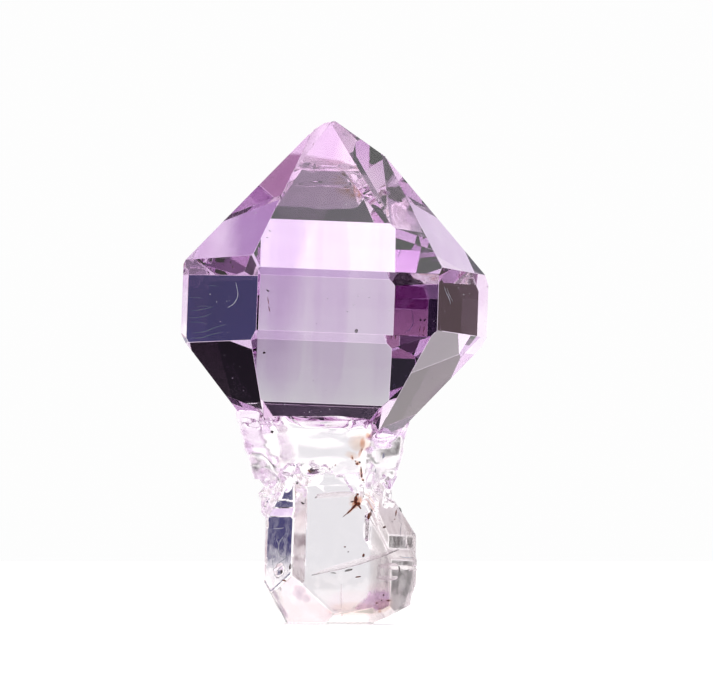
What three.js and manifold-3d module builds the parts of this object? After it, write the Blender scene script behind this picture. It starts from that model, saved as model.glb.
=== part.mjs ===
// Amethyst scepter: a natural quartz crystal whose fat purple head caps a slim clear stem.
// Head, neck, stem and the side crystal low on the stem share one lattice and grew into each
// other, so the part is one closed solid. Its flat faces, the growth ledges under the head and
// the chips round the broken foot are all planes. It stands on the foot, cut off flat.
//
// Millimetres, +Z up, front towards -Y. The origin is on the ground, under the middle of the
// outline. The crystal itself is laid out from the middle of its head, on its long axis.
import * as THREE from "three";
import { ConvexGeometry } from "three/addons/geometries/ConvexGeometry.js";
import { mergeVertices } from "three/addons/utils/BufferGeometryUtils.js";
import Module from "manifold-3d";

const wasm = await Module();
wasm.setup();

// How the crystal stands
const LEAN = 2; // degrees, from upright to the right
const HEAD_HEIGHT = 16.2; // from the ground to the middle of the head

// Quartz lattice, in degrees. Upright faces look in six directions, clockwise as seen from above,
// and every list below that has a value for each direction is in this order.
const SIDE = { front: 0, right: 1, backRight: 2, back: 3, backLeft: 4, left: 5 };
const DIRECTIONS = 6;
const DIRECTION_STEP = 360 / DIRECTIONS;
const QUARTER_TURN = 90;
const FRONT_TURN = 4.5; // the front face looks a little to the right
const TIP_RISE = 38.2; // a tip face's normal above the horizontal
const STEEP_RISE = 23.7; // the same, of the steep tip face on the stem's right
const HEAD_LEFT_FALL = 31.4; // the same, below the horizontal, of the steep face under the head
const CORNER_RISE = 24.4; // the same, of the small facet on a corner

// Every crystal below gives, for each direction, how far its upright face stands from the
// long axis (side), and where that face meets its tip face above (top) and below (bottom).
const BELOW_GROUND = -18; // where the stem would end, if the ground didn't cut it off
const HEAD = {
  side: [6.0, 7.38, 6.54, 6.81, 6.18, 6.26],
  top: [1.09, 1.44, 0.96, 1.25, 1.47, 1.68],
  bottom: [-1.98, -1.66, -2.14, -2.47, -1.98, -2.46],
};
const HEAD_TIP = 8.95; // the worn tip of the head
const TIP_WEAR_TURN = 250; // the worn tip slopes down this way, in degrees
const TIP_WEAR_RISE = 72;
const UPPER_CORNER_REACH = 6.86; // from the head's middle to its front left corner facets
const LOWER_CORNER_REACH = 7.38;

const SHAFT = {
  side: [2.8, 2.82, 3.64, 3.07, 1.97, 2.62],
  top: -4.5, // ends inside the head
  bottom: BELOW_GROUND,
};
const STEM = {
  side: [2.83, 4.42, 4.25, 3.1, 1.99, 2.64],
  top: [-6, -12.85, -12.7, -6, -6, -6],
  bottom: BELOW_GROUND,
};
const SIDE_CRYSTAL = {
  side: [2.66, 4.2, 4.41, 2.8, -1, -1.1],
  top: [-9.6, -11.65, -11.6, -10.4, -10.4, -10.4],
  bottom: BELOW_GROUND,
};

// Neck: ledges that shrink in steps from the head's underside to the shaft
const NECK_LEDGES = 8;
const NECK_TOP = -5.55;
const NECK_END = [-8.8, -9.9, -10.2, -9.6, -11.4, -11.4];
const NECK_SWELL = [0.2, 0.66, 0.82, 0.4, 1.5, 1.6]; // how far its top stands out from the shaft
const NECK_CURVE = 1.5; // how fast it narrows just under the head
const LEDGE_UNEVENNESS = { wide: 0.07, tall: 0.2 }; // how much the ledges differ

// Shards: small crystals that stand out from the neck, in the same lattice
const SHARDS = 22;
const SHARD_SEED = 11;
const SHARD_RADIUS = [0.35, 0.8];
const SHARD_PROUD = [0.02, 0.09];
const SHARD_SPREAD = 1.1; // how far along its side of the neck a shard can be
const SHARD_TALL = 0.9; // half height of its upright faces, in radii

// Chips of the broken foot: where each looks, and its distance from the head's middle
const FOOT_CHIPS = [
  { turn: -85, rise: -31.4, reach: 9.67 },
  { turn: 95, rise: -64.3, reach: 15.65 },
  { turn: 14.5, rise: -55, reach: 14.47 },
  { turn: -33, rise: -35, reach: 10.44 },
  { turn: 190, rise: -48, reach: 13.5 },
  { turn: 140, rise: -38, reach: 12.3 },
];
const REACH_OF_ALL = 30; // farther than any point of the crystal

// Notches: places near the tip where growth stopped short, each the hollow of a small crystal
const NOTCHES = [
  { middle: [-0.98, -0.15, 8.74], radius: 0.36 },
  { middle: [1.95, -0.75, 7.9], radius: 0.3 },
];
const NOTCH_TALL = 0.5; // half height of a notch's upright faces, in radii

// Finish
const AMETHYST = new THREE.MeshStandardMaterial({ color: 0xb79bd0, roughness: 0.05, metalness: 0 });

const CLOSE = 1e-5; // points nearer than this are one point
const FLAT = 1e-6;

// The same number for every direction, or the list itself.
function perDirection(value) {
  return Array.isArray(value) ? value : Array(DIRECTIONS).fill(value);
}

function turnOf(direction) {
  return FRONT_TURN + direction * DIRECTION_STEP;
}

// Unit vector that looks turn degrees to the right of straight ahead and rise degrees up.
function look(turn, rise) {
  const across = Math.cos(THREE.MathUtils.degToRad(rise));
  return new THREE.Vector3(
    Math.sin(THREE.MathUtils.degToRad(turn)) * across,
    -Math.cos(THREE.MathUtils.degToRad(turn)) * across,
    Math.sin(THREE.MathUtils.degToRad(rise)),
  );
}

function planeAt(normal, point) {
  return new THREE.Plane().setFromNormalAndCoplanarPoint(normal, point);
}

function planeOut(turn, rise, reach) {
  return new THREE.Plane(look(turn, rise), -reach);
}

// Upright faces and tip faces of one crystal. rise and fall are its tip faces' angles.
function crystalFaces({ side, top, bottom, rise = TIP_RISE, fall = TIP_RISE }) {
  const [sides, tops, bottoms, rises, falls] = [side, top, bottom, rise, fall].map(perDirection);
  return sides.flatMap((distance, i) => {
    const out = look(turnOf(i), 0);
    const foot = out.clone().multiplyScalar(distance);
    return [
      planeAt(out, foot),
      planeAt(look(turnOf(i), rises[i]), foot.clone().setZ(tops[i])),
      planeAt(look(turnOf(i), -falls[i]), foot.clone().setZ(bottoms[i])),
    ];
  });
}

// The point where three planes cross, or null where they have none.
function crossing(a, b, c) {
  const bc = new THREE.Vector3().crossVectors(b.normal, c.normal);
  const ca = new THREE.Vector3().crossVectors(c.normal, a.normal);
  const ab = new THREE.Vector3().crossVectors(a.normal, b.normal);
  const volume = a.normal.dot(bc);
  if (Math.abs(volume) < FLAT) return null;
  const point = bc.multiplyScalar(-a.constant);
  point.addScaledVector(ca, -b.constant);
  point.addScaledVector(ab, -c.constant);
  return point.divideScalar(volume);
}

// The convex solid that lies behind all the planes.
function solidBehind(planes) {
  const corners = [];
  for (let i = 0; i < planes.length; i++) {
    for (let j = i + 1; j < planes.length; j++) {
      for (let k = j + 1; k < planes.length; k++) {
        const point = crossing(planes[i], planes[j], planes[k]);
        if (!point || planes.some((plane) => plane.distanceToPoint(point) > FLAT)) continue;
        if (!corners.some((corner) => corner.distanceTo(point) < CLOSE)) corners.push(point);
      }
    }
  }
  return solidOf(new ConvexGeometry(corners));
}

// A three.js geometry as a solid that can be joined and cut.
function solidOf(geometry) {
  geometry.deleteAttribute("normal");
  geometry.deleteAttribute("uv");
  const merged = mergeVertices(geometry, CLOSE);
  return new wasm.Manifold(
    new wasm.Mesh({
      numProp: 3,
      vertProperties: new Float32Array(merged.attributes.position.array),
      triVerts: new Uint32Array(merged.index.array),
    }),
  );
}

function geometryOf(solid) {
  const mesh = solid.getMesh();
  const geometry = new THREE.BufferGeometry();
  geometry.setAttribute("position", new THREE.BufferAttribute(mesh.vertProperties, 3));
  geometry.setIndex(new THREE.BufferAttribute(mesh.triVerts, 1));
  return geometry;
}

function between([low, high], share) {
  return THREE.MathUtils.lerp(low, high, share);
}

// Repeatable chance from 0 to 1, and the same from -1 to 1.
THREE.MathUtils.seededRandom(SHARD_SEED);
const chance = () => THREE.MathUtils.seededRandom();
const swing = () => 2 * chance() - 1;

function makeHead() {
  const fall = perDirection(TIP_RISE).with(SIDE.left, HEAD_LEFT_FALL);
  const cornerTurn = turnOf(SIDE.front) - DIRECTION_STEP / 2;
  return solidBehind([
    ...crystalFaces({ ...HEAD, fall }),
    planeOut(cornerTurn, CORNER_RISE, UPPER_CORNER_REACH),
    planeOut(cornerTurn, -CORNER_RISE, LOWER_CORNER_REACH),
    planeAt(look(TIP_WEAR_TURN, TIP_WEAR_RISE), new THREE.Vector3(0, 0, HEAD_TIP)),
  ]);
}

// Distance of the neck's side from the axis, share of the way down from the head.
function neckSide(direction, share) {
  return SHAFT.side[direction] + NECK_SWELL[direction] * (1 - share) ** NECK_CURVE;
}

function neckHeight(direction, share) {
  return between([NECK_TOP, NECK_END[direction]], share);
}

function makeLedge(index) {
  const from = index / NECK_LEDGES;
  const to = (index + 1) / NECK_LEDGES;
  return solidBehind(
    crystalFaces({
      side: SHAFT.side.map((_, i) => neckSide(i, from) + swing() * LEDGE_UNEVENNESS.wide),
      top: SHAFT.top,
      bottom: SHAFT.side.map((_, i) => neckHeight(i, to) + swing() * LEDGE_UNEVENNESS.tall),
    }),
  );
}

// A crystal of even sides round a point. tall is half the height of its upright faces, in radii.
function makeSmallCrystal(middle, radius, tall) {
  return solidBehind(
    crystalFaces({
      side: perDirection(radius).map((r, i) => r + middle.dot(look(turnOf(i), 0))),
      top: middle.z + radius * tall,
      bottom: middle.z - radius * tall,
    }),
  );
}

function makeShard(index) {
  const direction = index % DIRECTIONS;
  const share = chance();
  const radius = between(SHARD_RADIUS, chance());
  const proud = between(SHARD_PROUD, chance());
  const middle = look(turnOf(direction), 0).multiplyScalar(neckSide(direction, share) - radius + proud);
  middle.addScaledVector(look(turnOf(direction) + QUARTER_TURN, 0), swing() * SHARD_SPREAD);
  middle.setZ(neckHeight(direction, share));
  return makeSmallCrystal(middle, radius, SHARD_TALL);
}

// Everything above the ground and inside the chips.
function makeFootLimits(ground) {
  return solidBehind([
    ground,
    ...FOOT_CHIPS.map(({ turn, rise, reach }) => planeOut(turn, rise, reach)),
    ...perDirection(REACH_OF_ALL).map((reach, i) => planeOut(turnOf(i), 0, reach)),
    planeOut(turnOf(SIDE.front), QUARTER_TURN, REACH_OF_ALL),
  ]);
}

const standing = new THREE.Matrix4().makeRotationY(THREE.MathUtils.degToRad(LEAN));
standing.setPosition(0, 0, HEAD_HEIGHT);
const ground = new THREE.Plane(new THREE.Vector3(0, 0, -1), 0).applyMatrix4(standing.clone().invert());

const steep = perDirection(TIP_RISE).with(SIDE.right, STEEP_RISE);
const pieces = [
  makeHead(),
  solidBehind(crystalFaces(SHAFT)),
  solidBehind(crystalFaces({ ...STEM, rise: steep })),
  solidBehind(crystalFaces({ ...SIDE_CRYSTAL, rise: steep })),
  ...Array.from({ length: NECK_LEDGES }, (_, i) => makeLedge(i)),
  ...Array.from({ length: SHARDS }, (_, i) => makeShard(i)),
];
const notches = NOTCHES.map((notch) =>
  makeSmallCrystal(new THREE.Vector3(...notch.middle), notch.radius, NOTCH_TALL),
);
const grown = pieces.reduce((all, piece) => all.add(piece));
const notched = notches.reduce((all, notch) => all.subtract(notch), grown);
const crystal = notched.intersect(makeFootLimits(ground));

const geometry = geometryOf(crystal).applyMatrix4(standing);
geometry.computeBoundingBox();
const middle = geometry.boundingBox.getCenter(new THREE.Vector3());
geometry.translate(-middle.x, -middle.y, -geometry.boundingBox.min.z);

const scepter = new THREE.Mesh(geometry, AMETHYST);
scepter.name = "scepter";

const part = new THREE.Group();
part.add(scepter);

export default part;
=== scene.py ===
"""Looks of an amethyst scepter: a clear quartz crystal with a fat purple head on a slim stem.

The crystal's faces come from the frame's measures. Here its edges are worn and chipped, its purple
growth zones are put inside it, its stains, specks, veils and fibres are laid in and on it, and it
stands in a light tent. Lengths in the classes are millimetres and angles degrees, unless a name
says otherwise.
"""

import logging
import math
import random
from dataclasses import dataclass, field
from enum import Enum

import bmesh
import bpy
from mathutils import Matrix, Vector, bvhtree, kdtree, noise


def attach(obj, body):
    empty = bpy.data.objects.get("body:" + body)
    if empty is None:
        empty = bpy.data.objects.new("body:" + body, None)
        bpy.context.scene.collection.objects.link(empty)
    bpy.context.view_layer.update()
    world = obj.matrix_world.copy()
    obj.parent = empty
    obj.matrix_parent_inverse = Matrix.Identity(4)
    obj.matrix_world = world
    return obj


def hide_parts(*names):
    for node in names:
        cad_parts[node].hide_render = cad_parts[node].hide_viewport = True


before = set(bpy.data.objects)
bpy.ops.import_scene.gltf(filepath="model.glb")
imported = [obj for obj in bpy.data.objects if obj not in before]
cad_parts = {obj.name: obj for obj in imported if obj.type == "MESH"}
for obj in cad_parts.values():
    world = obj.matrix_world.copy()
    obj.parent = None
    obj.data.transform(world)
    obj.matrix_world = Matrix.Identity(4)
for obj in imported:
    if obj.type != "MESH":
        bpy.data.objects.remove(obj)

MM = 0.001
BODY = "root"
NODE = "scepter"
IN_FRAME = Matrix.Scale(MM, 4)
Span = tuple[float, float]
Triple = tuple[float, float, float]
Socket = bpy.types.NodeSocket
BMesh = bmesh.types.BMesh

log = logging.getLogger("scepter")


class Nodes:
    """Short calls that add nodes to one tree and join them."""

    def __init__(self, tree: bpy.types.NodeTree) -> None:
        """Takes the tree that the calls add to.

        Args:
            tree: A material's, world's or group's node tree.
        """
        self.tree = tree

    def add(self, kind: str, inputs: dict | None = None, **settings: object) -> bpy.types.Node:
        """Adds a node.

        Args:
            kind: The node's type, without the word ShaderNode in front.
            inputs: For each input's name or number, a plain value or a socket to join to it.
            **settings: Properties of the node.

        Returns:
            The new node.
        """
        node = self.tree.nodes.new("ShaderNode" + kind)
        for name, value in settings.items():
            setattr(node, name, value)
        self.fill(node, inputs or {})
        return node

    def fill(self, node: bpy.types.Node, inputs: dict) -> None:
        """Sets inputs of a node.

        Args:
            node: The node.
            inputs: For each input's name or number, a plain value or a socket to join to it.
        """
        for name, value in inputs.items():
            if isinstance(value, Socket):
                self.tree.links.new(value, node.inputs[name])
            else:
                node.inputs[name].default_value = value

    def math(self, operation: str, *values: float | Socket) -> Socket:
        """Adds a Math node.

        Args:
            operation: The node's operation.
            *values: Its values, plain or sockets.

        Returns:
            Its result.
        """
        return self.add("Math", dict(enumerate(values)), operation=operation).outputs[0]

    def ramp(self, value: Socket, low: float, high: float, bottom: float = 0.0,
             top: float = 1.0) -> Socket:
        """Maps a value smoothly from low..high to bottom..top.

        Args:
            value: The socket to map.
            low: The value that gives bottom.
            high: The value that gives top.
            bottom: Result at and before low.
            top: Result at and past high.

        Returns:
            The mapped value.
        """
        inputs = {"Value": value, "From Min": low, "From Max": high, "To Min": bottom, "To Max": top}
        return self.add("MapRange", inputs, interpolation_type="SMOOTHSTEP").outputs["Result"]

    def blend(self, share: float | Socket, first: tuple | Socket, second: tuple | Socket) -> Socket:
        """Mixes two colours.

        Args:
            share: How much of the second colour shows, from 0 to 1.
            first: The first colour, or its socket.
            second: The second colour, or its socket.

        Returns:
            The mixed colour.
        """
        node = self.add("Mix", data_type="RGBA")
        numbers = {socket.identifier: number for number, socket in enumerate(node.inputs)}
        inputs = {"Factor_Float": share, "A_Color": first, "B_Color": second}
        self.fill(node, {numbers[name]: value for name, value in inputs.items()})
        return next(socket for socket in node.outputs if socket.identifier == "Result_Color")

    def stretched(self, place: Socket, stretch: Triple, shift: Triple = (0.0, 0.0, 0.0),
                  turn: float = 0.0, detail: float = 2.0) -> Socket:
        """Adds a soft noise of its own grain along each axis.

        Args:
            place: Where the pattern is read, in millimetres.
            stretch: How many grains a millimetre holds along each axis.
            shift: Moves the pattern.
            turn: Turns the pattern about the axis that points at the viewer.
            detail: How much finer grain rides on it.

        Returns:
            The noise, from 0 to 1.
        """
        settings = {"Vector": place, "Location": shift, "Rotation": (0, math.radians(turn), 0),
                    "Scale": stretch}
        moved = self.add("Mapping", settings).outputs[0]
        return self.add("TexNoise", {"Vector": moved, "Scale": 1.0, "Detail": detail}).outputs[0]


def new_material(name: str) -> tuple[bpy.types.Material, Nodes, bpy.types.Node]:
    """Starts a material.

    Args:
        name: Its name.

    Returns:
        The material, its nodes and its shader.
    """
    material = bpy.data.materials.new(name)
    material.use_nodes = True
    return material, Nodes(material.node_tree), material.node_tree.nodes["Principled BSDF"]


def opaque(red: float, green: float, blue: float) -> tuple[float, float, float, float]:
    """Gives a linear colour with an alpha of 1."""
    return (red, green, blue, 1.0)


def share_between(value: float, low: float, high: float) -> float:
    """Tells how far a value is on its way from low to high, eased, from 0 to 1."""
    way = min(1.0, max(0.0, (value - low) / (high - low)))
    return way * way * (3 - 2 * way)


@dataclass(frozen=True)
class Stance:
    """How the crystal stands: its long axis leans, and passes the middle of the head."""

    lean: float = 2.0
    middle: Triple = (-0.4439, -0.3981, 16.2)

    def matrix(self) -> Matrix:
        """Gives the place of the crystal's own axes in the frame, in metres."""
        turn = Matrix.Rotation(math.radians(self.lean), 4, "Y")
        return Matrix.Translation(Vector(self.middle) * MM) @ turn @ IN_FRAME

    def own_place(self, nodes: Nodes) -> Socket:
        """Adds nodes that give a place in the crystal's own axes, in millimetres.

        Args:
            nodes: The nodes to add to.

        Returns:
            The place.
        """
        place = nodes.add("TexCoord").outputs["Object"]
        settings = {"Vector": place, "Location": tuple(Vector(self.middle) * MM),
                    "Rotation": (0, math.radians(self.lean), 0), "Scale": (MM, MM, MM)}
        return nodes.add("Mapping", settings, vector_type="TEXTURE").outputs[0]


STANCE = Stance()


class Side(Enum):
    """The six ways that upright faces look, clockwise as seen from above."""

    FRONT = 0
    RIGHT = 1
    BACK_RIGHT = 2
    BACK = 3
    BACK_LEFT = 4
    LEFT = 5


@dataclass(frozen=True)
class Lattice:
    """Directions of the faces that quartz grows."""

    front_turn: float = 4.5
    tip_rise: float = 38.2
    corner_rise: float = 24.4

    def turn(self, side: Side | float) -> float:
        """Gives how far round a side's faces look, from straight ahead to the right."""
        number = side.value if isinstance(side, Side) else side
        return self.front_turn + number * 360 / len(Side)

    def look(self, turn: float, rise: float = 0.0) -> Vector:
        """Gives the unit vector of a direction.

        Args:
            turn: How far it looks to the right of straight ahead.
            rise: How far it looks up.

        Returns:
            The vector.
        """
        round_, up = math.radians(turn), math.radians(rise)
        across = math.cos(up)
        return Vector((math.sin(round_) * across, -math.cos(round_) * across, math.sin(up)))


LATTICE = Lattice()


@dataclass(frozen=True)
class Bands:
    """Bands of colour that growth left: the noise that they follow, and how strong they get."""

    stretch: Triple
    shift: Triple
    turn: float
    zone: Span
    most: float

    def strength(self, nodes: Nodes, place: Socket) -> Socket:
        """Adds nodes that tell how strong the bands are at a place."""
        grain = nodes.stretched(place, self.stretch, self.shift, self.turn)
        return nodes.ramp(grain, *self.zone, 0.0, self.most)


UPRIGHT_BANDS = Bands((0.9, 0.2, 0.08), (3.1, 0.0, 0.0), 0.0, (0.4, 0.64), 0.7)
LYING_BANDS = Bands((0.1, 0.1, 1.1), (0.0, 4.0, 2.0), 12.0, (0.42, 0.66), 0.3)


def growth_bands() -> bpy.types.NodeTree:
    """Builds the node group that tells how strongly growth coloured a place, from 0 to 1.

    Returns:
        The group. It is built once, and every clear stone uses it.
    """
    name = "growth_bands"
    if name in bpy.data.node_groups:
        return bpy.data.node_groups[name]
    group = bpy.data.node_groups.new(name, "ShaderNodeTree")
    group.interface.new_socket("Place", in_out="INPUT", socket_type="NodeSocketVector")
    group.interface.new_socket("Strength", in_out="OUTPUT", socket_type="NodeSocketFloat")
    nodes = Nodes(group)
    place = group.nodes.new("NodeGroupInput").outputs["Place"]
    strengths = [bands.strength(nodes, place) for bands in (UPRIGHT_BANDS, LYING_BANDS)]
    nodes.fill(group.nodes.new("NodeGroupOutput"), {"Strength": nodes.math("ADD", *strengths)})
    return group


@dataclass(frozen=True)
class Tint:
    """Colour that light takes on along a way through the crystal."""

    left: Triple
    way: float = 12.0
    deepest: float = 0.6

    def absorption(self) -> tuple[tuple[float, float, float, float], float]:
        """Works out the absorption that leaves this share of each colour after the way.

        Returns:
            The Volume Absorption's colour, which takes most of one colour away, and its density
            in metres.
        """
        taken = [-math.log(share) / (self.way * MM) for share in self.left]
        density = max(taken) / self.deepest
        return opaque(*(1 - one / density for one in taken)), density


@dataclass(frozen=True)
class ClearFinish:
    """See-through stone: light bends by ior as it enters, and is tinted on its way."""

    name: str
    tint: Tint
    ior: float = 1.0
    roughness: float = 0.0
    pale: Triple = (1.0, 1.0, 1.0)
    banded: Triple = (0.99, 0.975, 0.99)

    def make(self) -> bpy.types.Material:
        """Builds the material.

        Returns:
            The material.
        """
        material, nodes, shader = new_material(self.name)
        nodes.fill(shader, {"Roughness": self.roughness, "IOR": self.ior, "Transmission Weight": 1.0})
        place = STANCE.own_place(nodes)
        bands = nodes.add("Group", {"Place": place}, node_tree=growth_bands())
        self.dress(nodes, shader, place, bands.outputs["Strength"])
        colour, density = self.tint.absorption()
        volume = nodes.add("VolumeAbsorption", {"Color": colour, "Density": density})
        nodes.fill(nodes.tree.nodes["Material Output"], {"Volume": volume.outputs[0]})
        return material

    def dress(self, nodes: Nodes, shader: bpy.types.Node, place: Socket, bands: Socket) -> None:
        """Colours the surface in the bands of its growth."""
        colour = nodes.blend(bands, opaque(*self.pale), opaque(*self.banded))
        nodes.fill(shader, {"Base Color": colour})


@dataclass(frozen=True)
class SkinFinish(ClearFinish):
    """The crystal's own skin: purple over the head, clear over the stem, dull where it is rough, and
    greyed with painted shade over the side crystal.

    Each zone runs from the height, in the crystal's own axes, where a look begins to the height
    where it is whole. Each roughness has its least and its most. Each grain is the stretch and the
    shift of a noise.
    """

    head_zone: Span = (-6.2, -4.0)
    lilac: Triple = (0.955, 0.90, 0.965)
    lilac_banded: Triple = (0.90, 0.81, 0.925)
    foot_zone: Span = (-13.0, -15.2)
    foot_pink: Triple = (0.97, 0.905, 0.905)
    foot_grain: tuple[Triple, Triple] = ((0.8, 0.8, 0.9), (5.0, 1.0, 0.0))
    patches: Span = (0.3, 0.6)
    dull_grain: tuple[Triple, Triple] = ((1.6, 1.6, 1.6), (0.0, 9.0, 0.0))
    etched: Span = (0.0, 0.13)
    etched_patches: Span = (0.42, 0.62)
    etched_zone: Span = (-6.3, -7.2)
    hazed: Span = (0.03, 0.1)
    hazed_zone: Span = (-9.0, -10.0)
    hazed_reach: Span = (2.25, 2.35)
    frosted: Span = (0.11, 0.22)
    neck_zone: Span = (-6.3, -6.9)
    neck_end: Span = (-8.9, -8.4)
    neck_end_rise: float = 0.5
    base_zone: Span = (-14.2, -14.8)
    side_across: Span = (2.5, 2.8)
    side_zone: Span = (-10.2, -11.0)
    side_dull: Span = (0.13, 0.26)
    # Painted shade: this grey over the side crystal's skin darkens it, standing in for the dimmer light
    # seen through it.
    side_painted_shade: Triple = (0.68, 0.62, 0.62)
    side_swell: float = 0.016
    swell_grain: tuple[Triple, Triple] = ((2.2, 2.2, 0.9), (0.0, 0.0, 3.0))

    def dress(self, nodes: Nodes, shader: bpy.types.Node, place: Socket, bands: Socket) -> None:
        """Colours the surface by height and growth bands, greys the side crystal with painted shade,
        and makes parts of it dull and uneven.

        Args:
            nodes: The material's nodes.
            shader: Its shader.
            place: The place in the crystal's own axes.
            bands: How strongly growth coloured the place.
        """
        axes = nodes.add("SeparateXYZ", {0: place}).outputs
        beside = nodes.math("MULTIPLY", nodes.ramp(axes[0], *self.side_across),
                            nodes.ramp(axes[2], *self.side_zone))
        purple = nodes.blend(bands, opaque(*self.lilac), opaque(*self.lilac_banded))
        cloud = nodes.stretched(place, *self.foot_grain)
        foot = nodes.math("MULTIPLY", nodes.ramp(axes[2], *self.foot_zone),
                          nodes.ramp(cloud, *self.patches))
        stem = nodes.blend(foot, opaque(*self.pale), opaque(*self.foot_pink))
        # Painted shade: the side crystal's skin is greyed darker.
        stem = nodes.blend(beside, stem, opaque(*self.side_painted_shade))
        head = nodes.ramp(axes[2], *self.head_zone)
        swell = nodes.stretched(place, *self.swell_grain, detail=1.0)
        height = nodes.math("MULTIPLY", nodes.math("MULTIPLY", swell, self.side_swell), beside)
        bump = nodes.add("Bump", {"Height": height, "Strength": 1.0, "Distance": MM})
        nodes.fill(shader, {"Base Color": nodes.blend(head, stem, purple), "Normal": bump.outputs[0],
                            "Roughness": self.roughness_at(nodes, place, axes, beside)})

    def roughness_at(self, nodes: Nodes, place: Socket, axes: bpy.types.NodeOutputs,
                     beside: Socket) -> Socket:
        """Gives the skin's roughness: that of the roughest of the looks that meet at a place.

        Args:
            nodes: The material's nodes.
            place: The place in the crystal's own axes.
            axes: The place's three measures.
            beside: 1 on the side crystal and 0 off it.

        Returns:
            The roughness.
        """
        mottle = nodes.stretched(place, *self.dull_grain, detail=4.0)
        inputs = {0: place, 1: tuple(LATTICE.look(LATTICE.turn(Side.LEFT)))}
        reach = nodes.add("VectorMath", inputs, operation="DOT_PRODUCT").outputs["Value"]
        left = nodes.math("MULTIPLY", nodes.ramp(reach, *self.hazed_reach),
                          nodes.ramp(axes[2], *self.hazed_zone))
        out = nodes.math("MULTIPLY", nodes.math("ABSOLUTE", axes[0]), self.neck_end_rise)
        above = nodes.ramp(nodes.math("ADD", axes[2], out), *self.neck_end)
        neck = nodes.math("MULTIPLY", above, nodes.ramp(axes[2], *self.neck_zone))
        rough = nodes.math("MAXIMUM", neck, nodes.ramp(axes[2], *self.base_zone))
        low = nodes.ramp(axes[2], *self.etched_zone)
        result = nodes.math("MULTIPLY", nodes.ramp(mottle, *self.etched_patches, *self.etched), low)
        for amount, there in ((self.hazed, left), (self.frosted, rough), (self.side_dull, beside)):
            patchy = nodes.math("MULTIPLY", nodes.ramp(mottle, *self.patches, *amount), there)
            result = nodes.math("MAXIMUM", result, patchy)
        return result


QUARTZ = SkinFinish("clear_quartz", Tint((0.985, 0.965, 0.975)), 1.544, pale=(1.0, 0.965, 0.98))
STREAK = ClearFinish("purple_streaks", Tint((0.93, 0.88, 0.955), 9.0))


def cut_flat(bm: BMesh, point: Vector, out: Vector, near: float = 1e-5) -> None:
    """Cuts off what a solid has past a plane, and closes the cut with one face.

    Args:
        bm: The solid.
        point: A point of the plane.
        out: The plane's normal, towards what is cut off.
        near: How far from the plane a corner still counts as on it.
    """
    geometry = [*bm.verts, *bm.edges, *bm.faces]
    cut = bmesh.ops.bisect_plane(
        bm, geom=geometry, dist=near, plane_co=point, plane_no=out, clear_outer=True,
    )
    rim = [edge for edge in cut["geom_cut"] if isinstance(edge, bmesh.types.BMEdge)]
    if rim:
        bmesh.ops.contextual_create(bm, geom=rim)


# How coarse the noise over a lump is, and how far apart two lumps read it.
LUMP_GRAIN = 1.3
LUMP_APART = 7.0


def add_pebble(bm: BMesh, middle: Vector, half: Triple, turn: Matrix = Matrix(),
               uneven: float = 0.0, detail: int = 2) -> None:
    """Adds an egg-shaped lump to a bmesh.

    Args:
        bm: The bmesh.
        middle: The lump's middle.
        half: Half its size along each axis.
        turn: How it is turned.
        uneven: How much its surface wanders in and out, as a share of its size.
        detail: How finely it is cut.
    """
    place = Matrix.Translation(middle) @ turn.to_4x4() @ Matrix.Diagonal((*half, 1.0))
    lump = bmesh.ops.create_icosphere(bm, subdivisions=detail, radius=1.0)
    for vertex in lump["verts"]:
        seed = vertex.co * LUMP_GRAIN + middle * LUMP_APART
        vertex.co *= 1 + uneven * noise.noise(seed)
    bmesh.ops.transform(bm, matrix=place, verts=lump["verts"])


def object_of(data: BMesh | bpy.types.ID, name: str) -> bpy.types.Object:
    """Puts a thing into the scene.

    Args:
        data: Its mesh, curve, light or camera, or a bmesh, which is turned into a mesh and freed.
        name: Its name.

    Returns:
        The object.
    """
    if isinstance(data, BMesh):
        mesh = bpy.data.meshes.new(name)
        data.to_mesh(mesh)
        data.free()
        data = mesh
    thing = bpy.data.objects.new(name, data)
    bpy.context.scene.collection.objects.link(thing)
    return thing


def ride_along(piece: bpy.types.Object, material: bpy.types.Material) -> None:
    """Dresses a piece of the crystal and ties it to the body.

    Args:
        piece: The piece.
        material: Its finish.
    """
    piece.data.materials.clear()
    piece.data.materials.append(material)
    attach(piece, BODY)
    log.info("%s: %d faces", piece.name, len(piece.data.polygons))


def lay(bm: BMesh, finish: "ClearFinish | GrainFinish", smooth: bool = False,
        place: Matrix = IN_FRAME) -> None:
    """Turns a bmesh into a finished piece of the crystal.

    Args:
        bm: The bmesh, in millimetres. It is freed.
        finish: The piece's finish, which names it too.
        smooth: Whether its faces look rounded.
        place: Where it is put in the frame.
    """
    for face in bm.faces:
        face.smooth = smooth
    bmesh.ops.transform(bm, matrix=place, verts=bm.verts)
    ride_along(object_of(bm, finish.name), finish.make())


def applied(thing: bpy.types.Object) -> bpy.types.Mesh:
    """Gives the mesh that an object's modifiers make.

    Args:
        thing: An object with modifiers.

    Returns:
        The mesh, with the modifiers' work in it.
    """
    graph = bpy.context.evaluated_depsgraph_get()
    return bpy.data.meshes.new_from_object(thing.evaluated_get(graph))


@dataclass(frozen=True)
class Chip:
    """A shell-shaped chip broken out of the ridge between two tip faces, at a height."""

    first: Side
    second: Side
    height: float
    radius: float
    depth: float


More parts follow.
